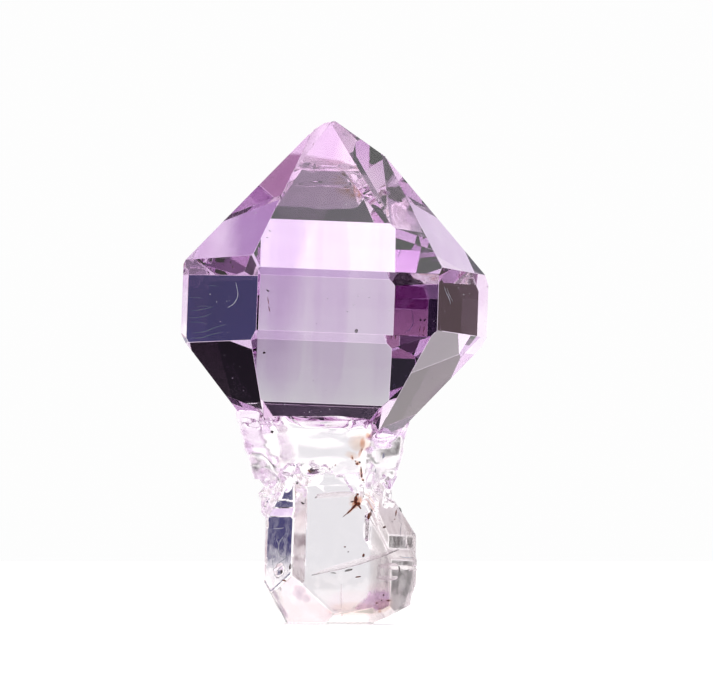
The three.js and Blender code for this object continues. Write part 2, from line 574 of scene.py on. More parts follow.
@dataclass
class Head:
    """The fat head: flat faces of one lattice, a worn tip, and chips out of its ridges."""

    side: tuple[float, ...] = (6.0, 7.38, 6.54, 6.81, 6.18, 6.26)
    top: tuple[float, ...] = (1.09, 1.44, 0.96, 1.25, 1.47, 1.68)
    bottom: tuple[float, ...] = (-1.98, -1.66, -2.14, -2.47, -1.98, -2.46)
    left_fall: float = 31.4
    tip: float = 8.95
    tip_wear: Span = (250.0, 72.0)
    upper_corner: float = 6.86
    lower_corner: float = 7.38
    block: float = 40.0
    worn_edge: float = 0.012
    chips: tuple[Chip, ...] = (
        Chip(Side.RIGHT, Side.BACK_RIGHT, 8.42, 0.25, 0.07),
        Chip(Side.RIGHT, Side.BACK_RIGHT, 7.95, 0.3, 0.1),
        Chip(Side.RIGHT, Side.BACK_RIGHT, 7.45, 0.36, 0.11),
        Chip(Side.RIGHT, Side.BACK_RIGHT, 7.05, 0.25, 0.07),
        Chip(Side.FRONT, Side.RIGHT, 8.2, 0.22, 0.07),
        Chip(Side.FRONT, Side.LEFT, 8.4, 0.2, 0.08),
        Chip(Side.LEFT, Side.BACK_LEFT, 8.3, 0.3, 0.1),
        Chip(Side.BACK, Side.BACK_LEFT, 7.0, 0.5, 0.1),
        Chip(Side.BACK, Side.BACK_RIGHT, 5.6, 0.6, 0.1),
    )
    small_chips: int = 18
    small_radius: Span = (0.1, 0.25)
    small_depth: Span = (0.02, 0.045)
    ridge_least: float = 1.0
    chip_shape: Triple = (1.0, 0.9, 1.15)
    chip_spin: float = 40.0
    chip_uneven: float = 0.08
    seed: int = 5

    def make(self) -> BMesh:
        """Builds the head in the crystal's own axes, in millimetres.

        Returns:
            The head as a closed solid.
        """
        bm = self.faceted()
        bmesh.ops.bevel(
            bm, geom=list(bm.edges), offset=self.worn_edge, offset_type="OFFSET",
            affect="EDGES", segments=1, profile=0.5, material=-1, clamp_overlap=True,
        )
        return bm

    def faceted(self, inside: float = 0.0, lift: float = 0.0) -> BMesh:
        """Cuts the head's flat faces.

        Args:
            inside: How far the faces stand inside the head's own.
            lift: How much higher the faces under the head stand.

        Returns:
            A closed solid with sharp edges.
        """
        bm = bmesh.new()
        bmesh.ops.create_cube(bm, size=self.block)
        for side in Side:
            number = side.value
            turn = LATTICE.turn(side)
            foot = LATTICE.look(turn) * self.side[number]
            fall = self.left_fall if side is Side.LEFT else LATTICE.tip_rise
            over = foot + Vector((0, 0, self.top[number]))
            under = foot + Vector((0, 0, self.bottom[number] + lift))
            for point, rise in ((foot, 0.0), (over, LATTICE.tip_rise), (under, -fall)):
                out = LATTICE.look(turn, rise)
                cut_flat(bm, point - out * inside, out)
        corner = LATTICE.turn(-0.5)
        for rise, reach in ((LATTICE.corner_rise, self.upper_corner),
                            (-LATTICE.corner_rise, self.lower_corner)):
            out = LATTICE.look(corner, rise)
            cut_flat(bm, out * (reach - inside), out)
        worn = LATTICE.look(*self.tip_wear)
        cut_flat(bm, Vector((0, 0, self.tip)) - worn * inside, worn)
        return bm

    def ridge(self, first: Side, second: Side, height: float) -> tuple[Vector, Vector]:
        """Finds the ridge between two tip faces at a height.

        Args:
            first: One face's side.
            second: The other's.
            height: The height, above the head's middle.

        Returns:
            The ridge's point there, and the way that it points outwards.
        """
        rows, reaches = [], []
        for side in (first, second):
            turn = LATTICE.turn(side)
            out = LATTICE.look(turn, LATTICE.tip_rise)
            over = LATTICE.look(turn) * self.side[side.value] + Vector((0, 0, self.top[side.value]))
            rows.append(out)
            reaches.append(out.dot(over))
        point = Matrix((*rows, (0, 0, 1))).inverted() @ Vector((*reaches, height))
        return point, (rows[0] + rows[1]).normalized()

    def chip_cutters(self) -> BMesh:
        """Builds the lumps that take the chips out of the head's ridges.

        Returns:
            The lumps, joined in one bmesh.
        """
        bm = bmesh.new()
        for chip in self.chips:
            point, out = self.ridge(chip.first, chip.second, chip.height)
            self.add_cutter(bm, point, out, chip.radius, chip.depth)
        chance = random.Random(self.seed)
        plain = self.faceted()
        edges = [edge for edge in plain.edges if edge.calc_length() > self.ridge_least]
        for _ in range(self.small_chips):
            edge = chance.choice(edges)
            point = edge.verts[0].co.lerp(edge.verts[1].co, chance.random())
            out = sum((face.normal for face in edge.link_faces), Vector()).normalized()
            self.add_cutter(bm, point, out, chance.uniform(*self.small_radius),
                            chance.uniform(*self.small_depth))
        plain.free()
        return bm

    def add_cutter(self, bm: BMesh, point: Vector, out: Vector, radius: float,
                   depth: float) -> None:
        """Adds one lump that takes a chip out of a ridge.

        Args:
            bm: The lumps.
            point: A point of the ridge.
            out: The way that the ridge points.
            radius: The lump's radius.
            depth: How far it reaches into the ridge.
        """
        half = tuple(radius * share for share in self.chip_shape)
        spin = Matrix.Rotation(radius * self.chip_spin, 3, out)
        add_pebble(bm, point + out * (radius - depth), half, spin, self.chip_uneven, detail=1)


@dataclass(frozen=True)
class Zone:
    """A purple growth zone: the head's shape drawn in by gap, and cut off past some planes.

    A cut is a point of its plane, in the crystal's axes, and how far round and up its outer
    side looks.
    """

    finish: ClearFinish
    gap: float
    lift: float = 0.0
    cuts: tuple[tuple[Triple, float, float], ...] = ()

    def make(self, head: Head) -> None:
        """Builds the zone as a closed body of tint, with no gloss of its own.

        Args:
            head: The head that it fills.
        """
        bm = head.faceted(self.gap, self.lift)
        for point, turn, rise in self.cuts:
            cut_flat(bm, Vector(point), LATTICE.look(turn, rise))
        lay(bm, self.finish, place=STANCE.matrix())


ZONES = (
    Zone(ClearFinish("lilac_zone", Tint((0.84, 0.76, 0.86))), 0.05, 2.4),
    Zone(ClearFinish("deep_zone", Tint((0.86, 0.8, 0.89))), 0.09, 1.0,
         (((-1.4, 0.0, 0.95), 87.0, -14.3),)),
    Zone(ClearFinish("left_zone", Tint((0.74, 0.6, 0.78))), 0.13, 0.6,
         (((-3.9, 0.0, 0.0), 86.0, -6.0),)),
    Zone(ClearFinish("magenta_zone", Tint((0.93, 0.75, 0.88))), 0.17, 0.0,
         (((0.0, 0.0, 3.4), 0.0, -90.0),)),
)


@dataclass
class Streaks:
    """Upright purple streaks inside the head, that fade out to all sides."""

    lumps: tuple[tuple[Triple, Triple], ...] = (
        ((-2.1, 0.0, -0.2), (0.95, 4.6, 4.6)),
        ((-1.75, 0.0, 0.4), (0.4, 4.2, 4.0)),
        ((0.1, 0.0, 0.1), (0.9, 4.6, 4.8)),
        ((0.05, 0.0, -0.3), (0.35, 4.3, 4.4)),
    )
    finish: ClearFinish = STREAK
    along: float = 2.4
    uneven: float = 0.06

    def make(self) -> None:
        """Builds the streaks."""
        bm = bmesh.new()
        turn = Matrix.Rotation(math.radians(self.along), 3, "Z")
        for middle, half in self.lumps:
            add_pebble(bm, Vector(middle), half, turn, self.uneven, detail=4)
        lay(bm, self.finish, True, STANCE.matrix())


@dataclass(frozen=True)
class Ledge:
    """A lying step on one side of the stem: it stands out by foot at its low end and by brow on top."""

    side: Side
    low: float
    high: float
    foot: float
    brow: float


@dataclass(frozen=True)
class Wave:
    """A swell of the surface: its height, its grains in a millimetre each way, and its slant."""

    height: float
    across: float
    along: float
    slant: float
    shift: Triple = (0.0, 0.0, 0.0)

    def at(self, point: Vector) -> float:
        """Gives how far the swell moves a point outwards.

        Args:
            point: The point, in the crystal's own axes.

        Returns:
            The distance.
        """
        level = (point.z + self.slant * point.x) * self.along
        place = Vector((point.x * self.across, point.y * self.across, level))
        return self.height * noise.noise(place + Vector(self.shift))


@dataclass
class Stem:
    """The neck and the stem: the frame's solid below the head, worn, waved, stepped and chipped.

    A zone is a pair of heights in the crystal's own axes, from where something begins to where it
    is whole.
    """

    top: float = 11.4
    pull_from: float = 10.9
    pull_over: float = 0.2
    pull: float = 0.9
    merge: float = 0.004
    grain: float = 0.062
    neck_bottom: float = 7.0
    neck_rounds: int = 70
    stem_rounds: int = 2
    foot: float = 0.08
    skirt: tuple[Span, ...] = (
        (-180.0, -8.4), (-120.0, -9.0), (-75.0, -9.3), (-40.0, -9.1), (-28.0, -8.3), (-12.0, -8.7),
        (5.0, -8.5), (22.0, -8.9), (34.0, -9.7), (70.0, -9.8), (110.0, -9.2), (180.0, -8.4),
    )
    ragged: tuple[Triple, ...] = ((0.22, 0.09, 0.0), (0.07, 0.4, 5.0))
    skirt_proud: float = 0.13
    skirt_sharp: float = 0.09
    skirt_fade: Span = (-7.6, -6.4)
    waist: float = 0.16
    waist_zone: Span = (-7.4, -6.2)
    front_facing: Span = (0.5, 0.9)
    neck_zone: Span = (-10.0, -8.2)
    neck_waves: tuple[Wave, ...] = (
        Wave(0.06, 0.3, 1.7, 0.12),
        Wave(0.014, 0.4, 3.3, -0.15, (7.0, 3.0, 1.0)),
    )
    brow_zone: Span = (-6.9, -6.4)
    brow_wave: Wave = Wave(0.02, 0.35, 4.5, -0.08)
    ledge_facing: float = 0.7
    ledges: tuple[Ledge, ...] = (
        Ledge(Side.LEFT, -10.15, -9.25, 0.02, 0.07),
        Ledge(Side.LEFT, -10.95, -10.5, 0.06, -0.04),
        Ledge(Side.RIGHT, -13.35, -13.15, 0.05, -0.05),
    )
    neck_shards: int = 60
    neck_heights: Span = (6.4, 9.7)
    neck_back: float = -0.8
    foot_shards: int = 16
    foot_heights: Span = (0.3, 1.9)
    foot_upright: float = 0.95
    foot_deeper: float = 1.2
    shard_edge: float = 1.03
    shard_reach: Span = (0.35, 0.8)
    shard_depth: Span = (0.015, 0.05)
    shard_tilt: float = 0.2
    shard_fade: float = 0.35
    crisp_from: float = 18.0
    back_reach: float = 3.085
    back_step: float = 0.03
    back_top: float = -9.7
    seed: int = 8

    def make(self) -> BMesh:
        """Builds the neck and stem in the frame's axes, in metres.

        Returns:
            The neck and stem as a closed solid.
        """
        bm = self.evenly_cut()
        neck = [v for v in bm.verts if v.co.z > self.neck_bottom * MM]
        for verts, rounds in ((bm.verts, self.stem_rounds), (neck, self.neck_rounds)):
            for _ in range(rounds):
                bmesh.ops.smooth_vert(bm, verts=verts, factor=0.5, use_axis_x=True,
                                      use_axis_y=True, use_axis_z=True)
        self.add_relief(bm)
        self.add_shards(bm)
        for vertex in bm.verts:
            if vertex.co.z < self.foot * MM:
                vertex.co.z = 0.0
        self.tuck_in(bm)
        self.level_back(bm)
        for face in bm.faces:
            face.smooth = True
        for edge in bm.edges:
            edge.smooth = edge.calc_face_angle(0.0) < math.radians(self.crisp_from)
        return bm

    def level_back(self, bm: BMesh) -> None:
        """Levels the faint step across the stem's back, which would show through its front.

        Args:
            bm: The neck and stem.
        """
        place = STANCE.matrix()
        own = place.inverted()
        out = LATTICE.look(LATTICE.turn(Side.BACK))
        for vertex in bm.verts:
            point = own @ vertex.co
            gap = self.back_reach - point.dot(out)
            if point.z < self.back_top and abs(gap) < self.back_step:
                vertex.co = place @ (point + out * gap)

    def evenly_cut(self) -> BMesh:
        """Takes the frame's solid below the top, and cuts its surface into small even faces.

        Returns:
            The solid.
        """
        bm = bmesh.new()
        bm.from_mesh(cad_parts[NODE].data)
        bmesh.ops.remove_doubles(bm, verts=bm.verts, dist=self.merge * MM)
        cut_flat(bm, Vector((0, 0, self.top * MM)), Vector((0, 0, 1)), near=1e-8)
        rough = object_of(bm, "rough_stem")
        remesh = rough.modifiers.new("even", "REMESH")
        remesh.mode = "VOXEL"
        remesh.voxel_size = self.grain * MM
        even = applied(rough)
        bpy.data.objects.remove(rough)
        bm = bmesh.new()
        bm.from_mesh(even)
        return bm

    def add_relief(self, bm: BMesh) -> None:
        """Waves the neck, and lets the skirt and the ledges stand out.

        Args:
            bm: The neck and stem.
        """
        own = STANCE.matrix().inverted()
        bm.normal_update()
        moves = []
        for vertex in bm.verts:
            point = own @ vertex.co
            out = vertex.normal
            waves = sum(wave.at(point) for wave in self.neck_waves)
            waves *= share_between(point.z, *self.neck_zone)
            brow = share_between(point.z, *self.brow_zone) * share_between(-out.y, *self.front_facing)
            waves += brow * self.brow_wave.at(point)
            outwards = Vector((out.x, out.y, 0))
            moves.append((out * waves + outwards * self.proud(point, out)) * MM)
        for vertex, move in zip(bm.verts, moves):
            vertex.co += move

    def proud(self, point: Vector, normal: Vector) -> float:
        """Tells how far the skirt and the ledges stand out at a point.

        Args:
            point: The point, in the crystal's own axes.
            normal: The surface's normal there.

        Returns:
            The distance.
        """
        hem = self.hem(math.degrees(math.atan2(point.x, -point.y)))
        above = share_between(point.z, hem, hem + self.skirt_sharp)
        out = self.skirt_proud * above * (1 - share_between(point.z, *self.skirt_fade))
        front = share_between(-normal.y, *self.front_facing)
        out -= self.waist * share_between(point.z, *self.waist_zone) * front
        for ledge in self.ledges:
            facing = normal.dot(LATTICE.look(LATTICE.turn(ledge.side)))
            if ledge.low < point.z < ledge.high and facing > self.ledge_facing:
                way = (point.z - ledge.low) / (ledge.high - ledge.low)
                out += ledge.foot + (ledge.brow - ledge.foot) * way
        return out

    def hem(self, turn: float) -> float:
        """Gives the height of the skirt's ragged lower edge.

        Args:
            turn: How far round from the front, to the right.

        Returns:
            The height, in the crystal's own axes.
        """
        level = self.skirt[0][1]
        for (start, low), (end, high) in zip(self.skirt, self.skirt[1:]):
            if start <= turn <= end:
                level = low + (high - low) * (turn - start) / (end - start)
        tears = (size * noise.noise(Vector((turn * rate, row, 0))) for size, rate, row in self.ragged)
        return level + sum(tears)

    def add_shards(self, bm: BMesh) -> None:
        """Breaks small flat facets out of the edges of the neck and the foot.

        Args:
            bm: The neck and stem.
        """
        chance = random.Random(self.seed)
        bm.verts.ensure_lookup_table()
        tree = kdtree.KDTree(len(bm.verts))
        for vertex in bm.verts:
            tree.insert(vertex.co, vertex.index)
        tree.balance()
        bm.normal_update()
        edges = [v for v in bm.verts if v.calc_shell_factor() > self.shard_edge]
        low, high = self.neck_heights
        neck = [v for v in edges if low < v.co.z / MM < high and v.normal.y > self.neck_back]
        low, high = self.foot_heights
        foot = [v for v in edges if low < v.co.z / MM < high and abs(v.normal.z) < self.foot_upright]
        for places, count, deeper in ((neck, self.neck_shards, 1.0),
                                      (foot, self.foot_shards, self.foot_deeper)):
            for _ in range(count):
                middle = chance.choice(places)
                tilt = Vector([chance.uniform(-1, 1) for _ in range(3)])
                out = (middle.normal + tilt * self.shard_tilt).normalized()
                point = middle.co - out * chance.uniform(*self.shard_depth) * deeper * MM
                reach = chance.uniform(*self.shard_reach) * MM
                for _, index, away in tree.find_range(middle.co, reach):
                    near = bm.verts[index]
                    over = max(0.0, (near.co - point).dot(out))
                    near.co -= out * over * share_between(reach - away, 0.0, self.shard_fade * reach)

    def tuck_in(self, bm: BMesh) -> None:
        """Draws the top in, so that it ends inside the head.

        Args:
            bm: The neck and stem.
        """
        middle = STANCE.matrix().translation
        for vertex in bm.verts:
            inside = vertex.co.z / MM - self.pull_from
            if inside > 0:
                share = 1 + (self.pull - 1) * min(1.0, inside / self.pull_over)
                vertex.co.x = middle.x + (vertex.co.x - middle.x) * share
                vertex.co.y = middle.y + (vertex.co.y - middle.y) * share


@dataclass
class Crystal:
    """The whole crystal, head to foot, as one closed clear solid."""

    finish: ClearFinish = QUARTZ
    head: Head = field(default_factory=Head)
    stem: Stem = field(default_factory=Stem)
    streaks: Streaks = field(default_factory=Streaks)

    def make(self) -> bpy.types.Object:
        """Builds the crystal.

        Returns:
            The crystal's object.
        """
        for zone in ZONES:
            zone.make(self.head)
        self.streaks.make()
        piece = self.placed(self.head.make(), "crystal")
        self.combine(piece, self.placed(self.head.chip_cutters(), "chips"), "DIFFERENCE")
        self.combine(piece, object_of(self.stem.make(), "stem"), "UNION")
        ride_along(piece, self.finish.make())
        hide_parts(NODE)
        return piece

    def placed(self, bm: BMesh, name: str) -> bpy.types.Object:
        """Puts a solid made in the crystal's own axes where the crystal stands."""
        bmesh.ops.transform(bm, matrix=STANCE.matrix(), verts=bm.verts)
        return object_of(bm, name)

    def combine(self, piece: bpy.types.Object, other: bpy.types.Object, how: str) -> None:
        """Joins another solid to a piece or cuts it out, and removes the other.

        Args:
            piece: The piece that is changed.
            other: The solid that is joined to it or cut out of it.
            how: UNION or DIFFERENCE.
        """
        step = piece.modifiers.new(how.lower(), "BOOLEAN")
        step.operation = how
        step.solver = "EXACT"
        step.use_self = how == "DIFFERENCE"
        step.object = other
        grown = applied(piece)
        piece.modifiers.clear()
        piece.data = grown
        grown.name = piece.name
        bpy.data.objects.remove(other)


class Front:
    """The crystal's surface, as it is met from the front."""

    ahead: float = -20.0

    def __init__(self, crystal: bpy.types.Object) -> None:
        """Takes the surface of a crystal.

        Args:
            crystal: The crystal.
        """
        bm = bmesh.new()
        bm.from_mesh(crystal.data)
        self.tree = bvhtree.BVHTree.FromBMesh(bm)
        bm.free()

    def under(self, at: Vector, deep: float) -> Vector:
        """Moves a point straight back, where it isn't deep enough under the surface.

        Args:
            at: The point, in the frame.
            deep: How deep it lies at least.

        Returns:
            The point.
        """
        start = Vector((at.x, self.ahead, at.z)) * MM
        hit = self.tree.ray_cast(start, Vector((0, 1, 0)))[0]
        if hit is None:
            log.warning("nothing of the crystal is behind %s", tuple(at))
            return at
        return Vector((at.x, max(at.y, hit.y / MM + deep), at.z))


@dataclass(frozen=True)
class GrainFinish:
    """Mineral grains, dust and threads in and on the quartz, and painted glints: dull, and mottled
    between two colours.
    """

    name: str
    dark: Triple
    light: Triple
    roughness: float = 0.6
    rough_spread: Span = (-0.15, 0.2)
    grain: Triple = (9.0, 9.0, 9.0)
    colour_zone: Span = (0.35, 0.65)
    rough_zone: Span = (0.3, 0.7)
    relief: float = 0.02

    def make(self) -> bpy.types.Material:
        """Builds the material.

        Returns:
            The material.
        """
        material, nodes, shader = new_material(self.name)
        mottle = nodes.stretched(STANCE.own_place(nodes), self.grain, detail=4.0)
        share = nodes.ramp(mottle, *self.colour_zone)
        least, most = (self.roughness + spread for spread in self.rough_spread)
        bump = nodes.add("Bump", {"Height": mottle, "Strength": 0.5, "Distance": self.relief * MM})
        nodes.fill(shader, {"Base Color": nodes.blend(share, opaque(*self.dark), opaque(*self.light)),
                            "Roughness": nodes.ramp(mottle, *self.rough_zone, least, most),
                            "Normal": bump.outputs[0]})
        return material


@dataclass(frozen=True)
class Lump:
    """A lump in the crystal: its middle in the frame, and its size and turn as seen from the front.

    Where its depth isn't given, it is as deep as wide, up to a limit. Its top tips to the viewer.
    """

    at: Triple
    wide: float
    tall: float
    turn: float = 0.0
    deep: float = 0.0
    tip: float = 0.0


@dataclass
class Lumps:
    """A soft cloud of tint in the clear quartz, or a healed crack: lumps that join in one piece.

    Each lies under the crystal's skin by a share of half its depth, and some way more.
    """

    finish: ClearFinish | GrainFinish
    lumps: tuple[Lump, ...]
    uneven: float = 0.35
    sunk: float = 1.175
    below: float = 0.0
    deepest: float = 0.4
    detail: int = 3
    smooth: bool = True

    def make(self, front: Front) -> None:
        """Builds the lumps.

        Args:
            front: The crystal's surface.
        """
        bm = bmesh.new()
        for lump in self.lumps:
            half = (lump.wide / 2, (lump.deep or min(self.deepest, lump.wide)) / 2, lump.tall / 2)
            turn = Matrix.Rotation(math.radians(-lump.turn), 3, "Y")
            turn @= Matrix.Rotation(math.radians(lump.tip), 3, "X")
            middle = front.under(Vector(lump.at), half[1] * self.sunk + self.below)
            add_pebble(bm, middle, half, turn, self.uneven, self.detail)
        lay(bm, self.finish, self.smooth)


@dataclass
class Grains(Lumps):
    """Rough mineral grains of one kind, sunk into the crystal's skin."""

    uneven: float = 0.5
    sunk: float = 0.4
    deepest: float = 0.12
    detail: int = 2
    smooth: bool = False


GRAINS = (
    Grains(GrainFinish("iron_rust", (0.09, 0.012, 0.006), (0.34, 0.09, 0.03)), (
        Lump((-1.2, -3.0, 7.6), 0.2, 0.12, -30.0), Lump((-0.25, -3.0, 7.72), 0.06, 0.04),
        Lump((-0.12, -3.0, 7.78), 0.05, 0.05), Lump((0.02, -3.0, 7.86), 0.05, 0.09, -15.0),
        Lump((-1.16, -3.0, 7.1), 0.06, 0.05, 20.0), Lump((-2.44, -2.6, 2.2), 0.28, 0.07, 8.0),
        Lump((0.5, -2.8, 3.83), 0.1, 0.07), Lump((1.42, -2.8, 3.41), 0.11, 0.2, -20.0),
        Lump((1.14, -2.8, 2.36), 0.28, 0.07, 10.0), Lump((2.41, -2.7, 1.47), 0.1, 0.08),
        Lump((2.07, -2.7, 1.08), 0.1, 0.08), Lump((2.3, -2.6, 1.2), 0.06, 0.06),
        Lump((2.42, -2.6, 4.8), 0.13, 0.1, 20.0), Lump((2.99, -0.9, 5.47), 0.1, 0.4, -25.0),
        Lump((1.69, -2.8, 5.38), 0.16, 0.4, -20.0), Lump((-3.21, -6.5, 15.75), 0.04, 0.34, 8.0, 0.04),
        Lump((-3.16, -6.5, 15.36), 0.04, 0.28, 14.0, 0.04), Lump((1.03, -2.95, 6.12), 0.17, 0.46, -5.0),
        Lump((1.13, -2.95, 5.93), 0.3, 0.2), Lump((0.92, -2.95, 5.78), 0.13, 0.36, -40.0),
        Lump((0.72, -2.95, 5.57), 0.09, 0.42, -48.0), Lump((0.52, -2.95, 5.4), 0.04, 0.3, -50.0),
        Lump((1.12, -2.95, 6.42), 0.13, 0.12), Lump((0.86, -2.95, 6.05), 0.16, 0.07, 10.0),
        Lump((1.24, -2.95, 5.78), 0.08, 0.2, 30.0), Lump((1.08, -2.98, 7.92), 0.15, 0.13, 30.0),
        Lump((1.28, -2.95, 7.6), 0.08, 0.36, 5.0), Lump((1.31, -2.92, 7.34), 0.1, 0.2),
        Lump((1.38, -2.9, 7.12), 0.13, 0.1), Lump((1.0, -2.98, 8.04), 0.06, 0.09),
        Lump((0.86, -2.98, 8.2), 0.05, 0.14), Lump((1.32, -2.95, 8.62), 0.04, 0.18, -15.0),
        Lump((2.2, -2.6, 0.75), 0.08, 0.06), Lump((2.6, -2.5, 1.2), 0.07, 0.06),
        Lump((2.97, -1.6, 5.2), 0.06, 0.06),
    )),
    Grains(GrainFinish("dark_specks", (0.02, 0.012, 0.015), (0.09, 0.05, 0.06)), (
        Lump((-1.1, -3.0, 7.66), 0.26, 0.17, 15.0), Lump((-1.57, -3.05, 5.98), 0.2, 0.08, -25.0),
        Lump((0.66, -2.8, 3.59), 0.06, 0.06), Lump((3.14, -1.95, 2.73), 0.16, 0.3, 6.0),
        Lump((2.79, -1.7, 5.06), 0.08, 0.08), Lump((-3.04, -3.2, 9.49), 0.16, 0.14),
        Lump((-2.54, -2.4, 2.6), 0.17, 0.22), Lump((-2.11, -3.0, 2.86), 0.14, 0.26, -10.0),
        Lump((-3.24, -6.5, 16.25), 0.17, 0.08, -35.0), Lump((-3.42, -5.6, 13.33), 0.13, 0.12),
        Lump((2.0, -3.55, 20.42), 0.06, 0.06), Lump((0.78, -1.6, 23.08), 0.05, 0.05),
        Lump((1.2, -2.98, 8.0), 0.1, 0.1), Lump((1.79, -2.7, 5.62), 0.12, 0.2, 30.0),
    )),
    Grains(GrainFinish("grey_specks", (0.2, 0.2, 0.2), (0.42, 0.42, 0.4)), (
        Lump((-1.02, -3.0, 7.15), 0.05, 0.05), Lump((-1.85, -3.0, 6.97), 0.14, 0.12),
        Lump((0.7, -2.6, 2.69), 0.4, 0.12, 14.0), Lump((-0.08, -2.6, 2.55), 0.3, 0.05, -4.0),
        Lump((-3.16, -5.0, 19.23), 0.12, 0.06, -30.0, 0.06),
        Lump((-3.28, -5.3, 18.89), 0.1, 0.06, -20.0, 0.06),
        Lump((1.06, -6.1, 14.3), 0.16, 0.2, 0.0, 0.06), Lump((3.25, -1.7, 5.7), 0.1, 0.3, 30.0),
    )),
    Grains(GrainFinish("blue_specks", (0.16, 0.17, 0.3), (0.35, 0.36, 0.5)), (
        Lump((2.3, -1.1, 8.39), 0.22, 0.3), Lump((1.9, -1.6, 7.64), 0.1, 0.22),
        Lump((-1.94, -3.1, 7.85), 0.18, 0.1, 15.0),
    )),
)


@dataclass
class Dust:
    """Fine dust on the head's faces."""

    finish: GrainFinish = GrainFinish("pale_dust", (0.42, 0.42, 0.45), (0.8, 0.8, 0.84), 0.8)
    count: int = 150
    radius: Span = (0.012, 0.034)
    flat: Span = (0.5, 1.0)
    uneven: float = 0.5
    proud: float = 0.3
    seed: int = 3

    def make(self) -> None:
        """Scatters the dust."""
        chance = random.Random(self.seed)
        plain = Head().faceted()
        faces = list(plain.faces)
        sizes = [face.calc_area() for face in faces]
        bm = bmesh.new()
        for face in chance.choices(faces, sizes, k=self.count):
            weights = [chance.random() for _ in face.verts]
            point = sum((vert.co * weight for vert, weight in zip(face.verts, weights)), Vector())
            radius = chance.uniform(*self.radius)
            half = (radius, radius * chance.uniform(*self.flat), radius * chance.uniform(*self.flat))
            middle = point / sum(weights) + face.normal * radius * self.proud
            add_pebble(bm, middle, half, Matrix(), self.uneven, detail=1)
        plain.free()
        lay(bm, self.finish, place=STANCE.matrix())


CLOUDS = (
    Lumps(ClearFinish("rust_wash", Tint((0.92, 0.82, 0.74), 0.4)), (
        Lump((1.2, -2.8, 8.95), 1.1, 0.9, -10.0, 0.5), Lump((1.6, -2.75, 9.3), 0.6, 0.5, 20.0),
        Lump((0.85, -2.85, 8.35), 0.8, 0.35, -15.0), Lump((1.74, -2.7, 6.15), 0.3, 1.2, 35.0, 0.4),
        Lump((2.35, -2.5, 1.0), 0.8, 0.6, 0.0), Lump((0.9, -2.6, 0.8), 2.6, 0.6, -3.0, 0.3),
        Lump((1.05, -2.8, 6.05), 0.7, 0.8, -40.0),
    )),
    Lumps(ClearFinish("rust_stain", Tint((0.76, 0.46, 0.34), 0.3)), (
        Lump((1.36, -2.9, 8.93), 0.22, 0.6, -8.0, 0.25), Lump((1.62, -2.85, 9.3), 0.28, 0.22, 0.0, 0.2),
        Lump((1.24, -2.92, 8.5), 0.16, 0.45, -20.0, 0.2),
        Lump((0.85, -2.95, 8.22), 0.16, 0.34, 10.0, 0.2),
        Lump((1.12, -2.95, 7.95), 0.26, 0.22, -30.0, 0.25),
        Lump((1.27, -2.9, 7.5), 0.17, 0.55, 5.0, 0.25),
        Lump((1.35, -2.85, 7.15), 0.2, 0.17, 0.0, 0.2), Lump((1.72, -2.75, 5.9), 0.14, 0.75, 35.0, 0.2),
        Lump((1.08, -2.9, 6.02), 0.4, 0.6, -35.0, 0.3), Lump((0.78, -2.9, 5.62), 0.16, 0.5, -48.0, 0.2),
        Lump((2.2, -2.6, 0.75), 0.16, 0.2, 0.0, 0.2), Lump((2.6, -2.5, 1.2), 0.14, 0.12, 0.0, 0.2),
    )),
    Lumps(ClearFinish("rose_haze", Tint((0.98, 0.94, 0.94), 1.0)), (
        Lump((1.3, -1.5, 0.9), 3.6, 1.5, 0.0, 1.6), Lump((2.2, -1.2, 1.5), 1.6, 1.3, 30.0, 1.4),
    )),
    Lumps(ClearFinish("smoky_patch", Tint((0.62, 0.56, 0.64), 0.2)), (
        Lump((-1.7, -2.9, 1.65), 0.75, 0.8, -25.0, 0.12),
        Lump((-1.35, -2.9, 1.35), 0.5, 0.5, 10.0, 0.1),
        Lump((-2.55, -2.6, 0.75), 0.3, 1.0, 25.0, 0.2), Lump((-2.9, -2.0, 1.5), 0.25, 0.8, 20.0, 0.2),
    )),
)


@dataclass(frozen=True)
class Thread:
    """A fine thread laid along points of the frame."""

    points: tuple[Triple, ...]
    thick: float = 0.05


@dataclass
class Threads:
    """Pale threads on or in the crystal, sunk into its skin by a share of their thickness."""

    name: str
    finish: GrainFinish
    threads: tuple[Thread, ...]
    sunk: float = 0.0
    end_share: float = 0.35

    def make(self, front: Front) -> None:
        """Builds the threads as one mesh.

        Args:
            front: The crystal's surface.
        """
        curve = bpy.data.curves.new(self.name, "CURVE")
        curve.dimensions = "3D"
        curve.bevel_depth = MM
        curve.bevel_resolution = 1
        curve.resolution_u = 4
        curve.use_fill_caps = True
        for thread in self.threads:
            spline = curve.splines.new("NURBS")
            spline.points.add(len(thread.points) - 1)
            spline.use_endpoint_u = True
            spline.order_u = 3
            last = len(thread.points) - 1
            for number, (point, place) in enumerate(zip(spline.points, thread.points)):
                point.co = (*(front.under(Vector(place), thread.thick * self.sunk) * MM), 1)
                thin = self.end_share if number in (0, last) else 1.0
                point.radius = thread.thick / 2 * thin
        holder = object_of(curve, "thread_curve")
        mesh = applied(holder)
        bpy.data.objects.remove(holder)
        mesh.name = self.name
        piece = object_of(mesh, self.name)
        ride_along(piece, self.finish.make())


